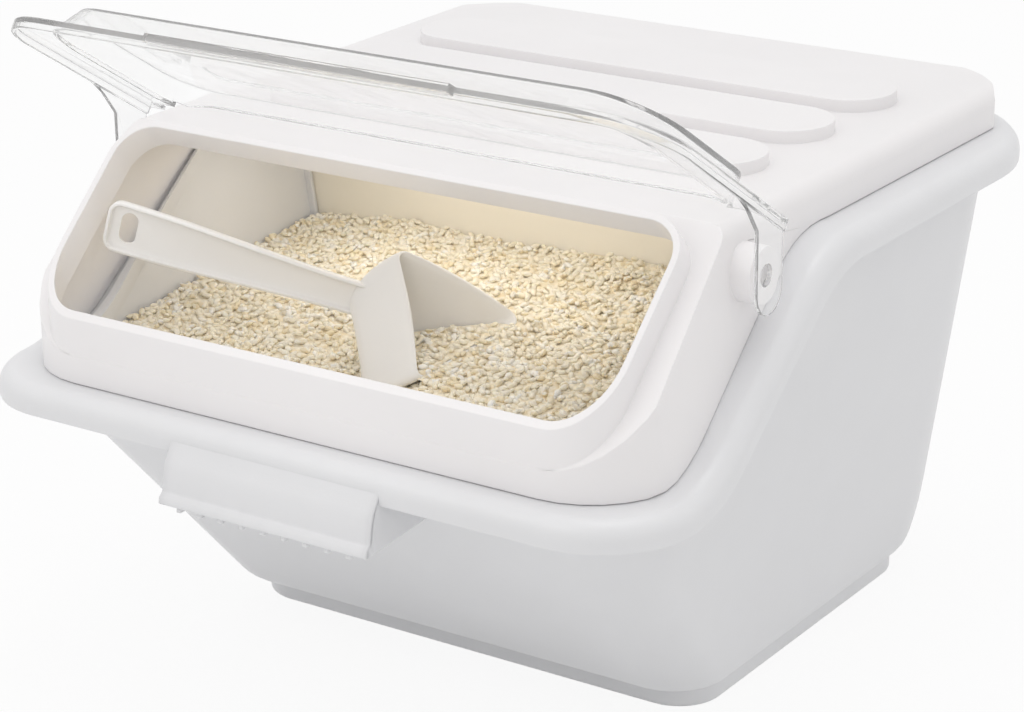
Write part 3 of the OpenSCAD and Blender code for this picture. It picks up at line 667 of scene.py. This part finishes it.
class RICEBIN_OT_lid(bpy.types.Operator):
    """Build the clear two-tier lid with its ears"""

    bl_idname = "rice_bin.lid"
    bl_label = "Clear lid"

    def execute(self, context):
        lid = eased(node_copy("flip_lid", "clear_lid", "clear"), "clear_lid", "clear", 0.6 * MM, 3, 28)
        # The renderer would shade the hood under clear plastic as if it were opaque
        lid.visible_shadow = lid.visible_diffuse = False
        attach(lid, "lid")
        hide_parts("flip_lid")
        return {"FINISHED"}


# Scoop


class RICEBIN_OT_scoop(bpy.types.Operator):
    """Build the scoop: a thin deep bowl and a flanged handle with a hang slot"""

    bl_idname = "rice_bin.scoop"
    bl_label = "Scoop"

    corners = [Vector(p) * MM for p in ((15, -165, 166), (29, -95, 178.5), (-21, -131, 218))]
    inward = Vector((-0.786, -0.376, -0.489))
    depth = 40 * MM
    wall = 1.8 * MM

    def rim(self):
        """The rim's outline: three bowed sides with rounded corners."""
        bows = (0.0, 3.8 * MM, -1.6 * MM)
        mid = sum(self.corners, Vector()) / 3
        sides = []
        for k in range(3):
            a, b = self.corners[k], self.corners[(k + 1) % 3]
            out = ((a + b) / 2 - mid).normalized()
            sides.append([a.lerp(b, t) + out * bows[k] * 4 * t * (1 - t)
                          for t in (0.09 + 0.82 * i / 15 for i in range(16))])
        points = []
        for k in range(3):
            points += sides[k]
            a, c, b = sides[k][-1], self.corners[(k + 1) % 3], sides[(k + 1) % 3][0]
            c = c.lerp((a + b) / 2, 0.22)
            for i in range(1, 6):
                t = i / 6
                points.append(a * (1 - t) ** 2 + c * 2 * t * (1 - t) + b * t ** 2)
        return points, mid

    def ring(self, q, t):
        points, mid = self.rim()
        c, s = math.cos(q) ** 0.5, math.sin(q) ** 0.9
        made = []
        for p in points:
            d = p - mid
            made.append(mid + d * ((d.length - t) / d.length) * c + self.inward * (self.depth - t) * s)
        return made

    def execute(self, context):
        turn = [math.radians(a) for a in (4, 9, 15, 22, 30, 38, 46, 54, 62, 70, 78, 85)]
        rings = [self.ring(q, 0) for q in reversed(turn)] + [self.ring(0, 0.25 * MM)]
        rings += [[p - self.inward * 0.35 * MM for p in self.ring(0, 0.9 * MM)], self.ring(0, self.wall - 0.25 * MM)]
        rings += [self.ring(q, self.wall) for q in turn]
        n = len(rings[0])
        bowl = outward(new_piece("scoop_bowl", [p for r in rings for p in r], ring_faces(len(rings), n), "scoop",
                                 60))
        # Handle: a blade with rounded ends, its flanges turned back, and a slot through it
        start, end = Vector((-50, -146, 196)) * MM, Vector((-146.5, -189.5, 224.5)) * MM
        run = end - start
        yaw, pitch = math.atan2(run.y, run.x), math.asin(run.z / run.length)
        place = (Matrix.Translation(start) @ Euler((0, 0, yaw)).to_matrix().to_4x4()
                 @ Euler((math.pi / 2, 0, 0)).to_matrix().to_4x4() @ Euler((0, 0, pitch)).to_matrix().to_4x4())
        full, r = run.length, 6.5 * MM

        def outline(inset):
            """The blade's outline, counter-clockwise, from the neck round the free end."""
            wide, neck, low = 13 * MM, 8.5 * MM, -17 * MM
            high = full + 4 * MM - r
            arc = lambda x, y, a0: [(x + (r - inset) * math.cos(a), y + (r - inset) * math.sin(a))
                                    for a in (math.radians(a0 + 90 * i / 8) for i in range(9))]
            side = [(low + (high - low) * t, neck + (wide - neck) * (0.5 - 0.5 * math.cos(math.pi * t)) - inset)
                    for t in (k / 12 for k in range(1, 12))]
            return (arc(low, r - neck, 180) + [(x, -y) for x, y in side] + arc(high, r - wide, 270)
                    + arc(high, wide - r, 0) + side[::-1] + arc(low, neck - r, 90))

        flange = 5 * MM
        loops = [(0.9 * MM, 0.0), (0.35 * MM, -0.25 * MM), (0.0, -0.9 * MM), (0.0, 0.5 * MM - flange),
                 (0.5 * MM, -flange), (1.4 * MM, -flange), (1.8 * MM, 0.5 * MM - flange), (1.8 * MM, -2.8 * MM),
                 (2.1 * MM, -2.1 * MM), (2.9 * MM, -1.8 * MM)]
        outer = [[place @ Vector((x, y, z)) for x, y in outline(inset)] for inset, z in loops]
        m = len(outer[0])
        sx, sz, sl = 4.25 * MM, full - 7 * MM, 8 * MM
        slot = []
        for i in range(m):
            a = 2 * math.pi * (i + 0.5) / m - math.pi * 0.75
            y = (sl - sx) * (1 if math.sin(a) > 0 else -1)
            slot.append((sz + sx * math.cos(a), y + sx * math.sin(a)))
        points = [p for loop in outer for p in loop]
        faces = ring_faces(len(outer), m, closed_ends=False)
        top, bottom = len(points), len(points) + m
        points += [place @ Vector((x, y, 0.0)) for x, y in slot]
        points += [place @ Vector((x, y, -1.8 * MM)) for x, y in slot]
        faces += [(top + i, bottom + i, bottom + (i + 1) % m, top + (i + 1) % m) for i in range(m)]
        handle = new_piece("scoop_handle", points, faces, "scoop", 60)
        work = bmesh.new()
        work.from_mesh(handle.data)
        work.edges.ensure_lookup_table()
        rims = [e for e in work.edges if len(e.link_faces) == 1]
        face_rims = [e for e in rims if all(v.index < m or top <= v.index < bottom for v in e.verts)]
        back_rims = [e for e in rims if e not in face_rims]
        for group in (face_rims, back_rims):
            bmesh.ops.triangle_fill(work, edges=group, use_beauty=True, use_dissolve=True)
        bmesh.ops.recalc_face_normals(work, faces=work.faces)
        work.to_mesh(handle.data)
        work.free()
        handle.data.polygons.foreach_set("use_smooth", [True] * len(handle.data.polygons))
        handle.data.set_sharp_from_angle(angle=math.radians(50))
        for piece in (bowl, handle):
            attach(piece, "scoop")
            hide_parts("scoop")
        return {"FINISHED"}


# Rice


def grain_model(sizes):
    """One grain: a low-count ellipsoid, blunter at one end."""
    work = bmesh.new()
    bmesh.ops.create_uvsphere(work, u_segments=7, v_segments=5, radius=0.5)
    for v in work.verts:
        x, y, z = v.co
        v.co = (z * sizes.grain_l * (1.0 if z > 0 else 0.94), x * sizes.grain_w * (1 + 0.12 * z),
                y * sizes.grain_w * 0.78)
    bmesh.ops.recalc_face_normals(work, faces=work.faces)
    mesh = bpy.data.meshes.new("grain_model")
    work.to_mesh(mesh)
    work.free()
    return add_piece("grain_model", mesh, "grain", 80)


def heap_top(node, name, keep):
    """The upper faces of a rice node as a surface of its own."""
    work = bmesh.new()
    work.from_mesh(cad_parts[node].data)
    bmesh.ops.remove_doubles(work, verts=work.verts, dist=1e-6)
    work.normal_update()
    drop = [f for f in work.faces if f.normal.z < 0.35 or not keep(f.calc_center_median())]
    bmesh.ops.delete(work, geom=drop, context="FACES")
    mesh = bpy.data.meshes.new(name)
    work.to_mesh(mesh)
    work.free()
    return add_piece(name, mesh, "bed")


def scattered(name, surface, sizes, grain, seed, density, lift):
    """Grains strewn over a surface, each turned and sunk a little."""

    def build(tree, start):
        nodes, links = tree.nodes, tree.links
        for label, kind in (("Density", "NodeSocketFloat"), ("Seed", "NodeSocketInt"), ("Lift", "NodeSocketFloat")):
            tree.interface.new_socket(label, in_out="INPUT", socket_type=kind)
        strew = nodes.new("GeometryNodeDistributePointsOnFaces")
        strew.distribute_method = "POISSON"
        strew.inputs["Distance Min"].default_value = sizes.grain_w * 0.56
        links.new(start.outputs["Geometry"], strew.inputs["Mesh"])
        links.new(start.outputs["Density"], strew.inputs["Density Max"])
        links.new(start.outputs["Seed"], strew.inputs["Seed"])
        nudge = nodes.new("FunctionNodeRandomValue")
        nudge.data_type = "FLOAT_VECTOR"
        nudge.inputs["Min"].default_value = (-0.0008, -0.0008, -0.0010)
        nudge.inputs["Max"].default_value = (0.0008, 0.0008, 0.0012)
        links.new(start.outputs["Seed"], nudge.inputs["Seed"])
        raise_by = nodes.new("ShaderNodeCombineXYZ")
        links.new(start.outputs["Lift"], raise_by.inputs["Z"])
        total = nodes.new("ShaderNodeVectorMath")
        links.new(nudge.outputs["Value"], total.inputs[0])
        links.new(raise_by.outputs[0], total.inputs[1])
        move = nodes.new("GeometryNodeSetPosition")
        links.new(strew.outputs["Points"], move.inputs["Geometry"])
        links.new(total.outputs[0], move.inputs["Offset"])
        model = nodes.new("GeometryNodeObjectInfo")
        model.inputs["Object"].default_value = grain
        turn = nodes.new("FunctionNodeRandomValue")
        turn.data_type = "FLOAT_VECTOR"
        turn.inputs["Min"].default_value = (-0.5, -0.55, 0)
        turn.inputs["Max"].default_value = (0.5, 0.55, 2 * math.pi)
        size = nodes.new("FunctionNodeRandomValue")
        size.data_type = "FLOAT"
        size.inputs[2].default_value = 0.82
        size.inputs[3].default_value = 1.14
        put = nodes.new("GeometryNodeInstanceOnPoints")
        links.new(move.outputs["Geometry"], put.inputs["Points"])
        links.new(model.outputs["Geometry"], put.inputs["Instance"])
        links.new(turn.outputs["Value"], put.inputs["Rotation"])
        links.new(size.outputs[1], put.inputs["Scale"])
        return {"instances": put.outputs["Instances"],
                "inputs": {"Density": density, "Seed": seed, "Lift": lift}}

    return instanced(name, surface, "grain", build)


def node_tree(node):
    """A CAD node's faces, ready to be measured against."""
    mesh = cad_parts[node].data
    return BVHTree.FromPolygons([v.co for v in mesh.vertices], [p.vertices[:] for p in mesh.polygons])


def kept_clear(piece, solid, per_grain, reach):
    """Drops the grains whose middle lies closer to a solid than they may."""
    work = bmesh.new()
    work.from_mesh(piece.data)
    work.verts.ensure_lookup_table()
    drop = []
    for i in range(0, len(work.verts), per_grain):
        grain = work.verts[i:i + per_grain]
        if solid.find_nearest(sum((v.co for v in grain), Vector()) / per_grain, reach)[0] is not None:
            drop += grain
    bmesh.ops.delete(work, geom=drop, context="VERTS")
    work.to_mesh(piece.data)
    work.free()


def mound(name):
    """A strip of heap that leans against the open side of the scoop's rim and runs out on the rest."""
    near, far = RICEBIN_OT_scoop.corners[:2]
    heap = node_tree("rice_fill")
    rows, steps = 20, 9
    points = []
    for j in range(rows + 1):
        t = 0.02 + 1.04 * j / rows
        start = near.lerp(far, t)
        reach = (12 + 18 * math.sin(math.pi * max(0.0, min(1.0, t)))) * MM
        for i in range(steps + 1):
            u = i / steps
            x, y = start.x - 1.5 * MM + reach * u, start.y + 4 * MM * u
            ground = heap.ray_cast(Vector((x, y, 0.24)), Vector((0, 0, -1)))[0].z
            ease = u * u * (3 - 2 * u)
            points.append((x, y, (start.z + 0.6 * MM) * (1 - ease) + (ground - 0.6 * MM) * ease))
    n = steps + 1
    faces = [(j * n + i, j * n + i + 1, (j + 1) * n + i + 1, (j + 1) * n + i) for j in range(rows)
             for i in range(steps)]
    return new_piece(name, points, faces, "bed")


class RICEBIN_OT_rice(bpy.types.Operator):
    """Strew grains over the heap in the bin and over the rice in the scoop"""

    bl_idname = "rice_bin.rice"
    bl_label = "Rice"

    def execute(self, context):
        sizes = context.scene.grain_sizes
        for node in ("rice_fill", "rice_in_scoop"):
            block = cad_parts[node]
            block.data.materials.clear()
            block.data.materials.append(finish("bed"))
        grain = grain_model(sizes)
        scoop = node_tree("scoop")
        parts = (("rice_grains_left", "rice_fill", "bin", lambda c: c.x < -0.045),
                 ("rice_grains_middle", "rice_fill", "bin", lambda c: -0.045 <= c.x < 0.06),
                 ("rice_grains_right", "rice_fill", "bin", lambda c: c.x >= 0.06),
                 ("scoop_grains", "rice_in_scoop", "scoop", lambda c: True),
                 ("mound_grains", None, "bin", None))
        for k, (name, node, body, keep) in enumerate(parts):
            surface = heap_top(node, name + "_bed", keep) if node else mound(name + "_bed")
            if not node:
                slope = mound("rice_mound")
                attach(slope, body)
            strewn = scattered(name, surface, sizes, grain, sizes.seed + k, sizes.density, 0.0004)
            if body == "scoop":
                kept_clear(strewn, scoop, len(grain.data.vertices), 2.2 * MM)
            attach(strewn, body)
        bpy.data.objects.remove(grain, do_unlink=True)
        return {"FINISHED"}


# Stage


def lamp(name, place, target, size, power, tint=(1, 1, 1)):
    data = bpy.data.lights.new(name, "AREA")
    data.shape = "RECTANGLE"
    data.size, data.size_y = size
    data.energy = power
    data.color = tint
    made = bpy.data.objects.new(name, data)
    made.visible_camera = made.visible_transmission = False
    made.location = place
    made.rotation_euler = (Vector(target) - Vector(place)).to_track_quat("-Z", "Y").to_euler()
    bpy.context.scene.collection.objects.link(made)
    return made


def seen_white(nodes, links, plain, share):
    """Mixes a shader with plain white for what the camera, gloss and clear plastic see directly."""
    path = nodes.new("ShaderNodeLightPath")
    most = path.outputs["Is Camera Ray"]
    for other in ("Is Glossy Ray", "Is Transmission Ray"):
        add = nodes.new("ShaderNodeMath")
        add.operation = "MAXIMUM"
        links.new(most, add.inputs[0])
        links.new(path.outputs[other], add.inputs[1])
        most = add.outputs[0]
    part = nodes.new("ShaderNodeMath")
    part.operation = "MULTIPLY"
    part.inputs[1].default_value = share
    links.new(most, part.inputs[0])
    mix = nodes.new("ShaderNodeMixShader")
    links.new(part.outputs[0], mix.inputs["Fac"])
    links.new(plain, mix.inputs[1])
    return mix


class RICEBIN_OT_stage(bpy.types.Operator):
    """Build the floor, the lights and the camera at the photograph's viewing angle"""

    bl_idname = "rice_bin.stage"
    bl_label = "Stage"

    def execute(self, context):
        scene = context.scene
        scene.view_settings.view_transform = "Standard"
        world = bpy.data.worlds.new("studio")
        scene.world = world
        world.use_nodes = True
        nodes, links = world.node_tree.nodes, world.node_tree.links
        nodes.clear()
        out = nodes.new("ShaderNodeOutputWorld")
        soft = nodes.new("ShaderNodeBackground")
        soft.inputs["Color"].default_value = (1.0, 0.99, 0.985, 1)
        soft.inputs["Strength"].default_value = 0.81
        bright = nodes.new("ShaderNodeBackground")
        mix = seen_white(nodes, links, soft.outputs[0], 1.0)
        links.new(bright.outputs[0], mix.inputs[2])
        links.new(mix.outputs[0], out.inputs["Surface"])

        floor_material, nodes, links, shader = material("studio_floor")
        shader.inputs["Base Color"].default_value = (0.9, 0.9, 0.9, 1)
        shader.inputs["Roughness"].default_value = 0.9
        glow = nodes.new("ShaderNodeEmission")
        mix = seen_white(nodes, links, shader.outputs[0], 0.9)
        links.new(glow.outputs[0], mix.inputs[2])
        end = next(node for node in nodes if node.type == "OUTPUT_MATERIAL")
        links.new(mix.outputs[0], end.inputs["Surface"])
        mesh = bpy.data.meshes.new("floor")
        r, n = 6.0, 64
        ring = [(r * math.cos(2 * math.pi * i / n), r * math.sin(2 * math.pi * i / n), -0.0002) for i in range(n)]
        mesh.from_pydata(ring, [], [tuple(range(n))])
        mesh.materials.append(floor_material)
        floor = bpy.data.objects.new("floor", mesh)
        scene.collection.objects.link(floor)

        lamp("key", (-0.9, -1.3, 2.0), (0, 0, 0.15), (1.0, 0.8), 1.5)
        lamp("top", (0.1, 0.1, 2.2), (0, 0, 0.2), (1.2, 1.0), 7)
        lamp("card", (0, -0.40, 0.38), (0, -0.05, 0.16), (0.34, 0.14), 0.085, (1, 0.97, 0.93))
        lamp("inside", (-0.03, -0.08, 0.252), (-0.03, -0.081, 0.1), (0.22, 0.07), 0.085, (1, 0.96, 0.90))

        azimuth, elevation, roll = math.radians(34.40124), math.radians(20.20305), math.radians(-0.81575)
        forward = Vector((-math.sin(azimuth) * math.cos(elevation), math.cos(azimuth) * math.cos(elevation),
                          -math.sin(elevation)))
        right = Vector((math.cos(azimuth), math.sin(azimuth), 0))
        up = right.cross(forward)
        level_right = right * math.cos(roll) + up * math.sin(roll)
        level_up = up * math.cos(roll) - right * math.sin(roll)
        turn = Matrix((level_right, level_up, -forward)).transposed()
        data = bpy.data.cameras.new("camera")
        data.sensor_width = 36
        data.lens = 3014.16 * 36 / 1024
        camera = bpy.data.objects.new("camera", data)
        camera.matrix_world = Matrix.Translation(Vector((0.8055, -1.2394, 0.6692))) @ turn.to_4x4()
        scene.collection.objects.link(camera)
        scene.camera = camera
        return {"FINISHED"}


class RICEBIN_PT_panel(bpy.types.Panel):
    """Buttons that build the rice bin piece by piece"""

    bl_label = "Rice bin"
    bl_idname = "RICEBIN_PT_panel"
    bl_space_type = "VIEW_3D"
    bl_region_type = "UI"
    bl_category = "Rice bin"

    def draw(self, context):
        for step in STEPS:
            self.layout.operator(step.bl_idname)


STEPS = (RICEBIN_OT_bucket, RICEBIN_OT_grip, RICEBIN_OT_hood, RICEBIN_OT_lid, RICEBIN_OT_scoop, RICEBIN_OT_rice,
         RICEBIN_OT_stage)
GROUPS = {"bin_sizes": BucketSizes, "bin_finishes": Finishes, "grain_sizes": GrainSizes}
CLASSES = (*GROUPS.values(), *STEPS, RICEBIN_PT_panel)


def register():
    for cls in CLASSES:
        bpy.utils.register_class(cls)
    for name, group in GROUPS.items():
        setattr(bpy.types.Scene, name, PointerProperty(type=group))


def unregister():
    for name in GROUPS:
        delattr(bpy.types.Scene, name)
    for cls in reversed(CLASSES):
        bpy.utils.unregister_class(cls)


def main():
    register()
    for step in STEPS:
        getattr(bpy.ops.rice_bin, step.bl_idname.split(".")[1])()


if __name__ == "__main__":
    main()
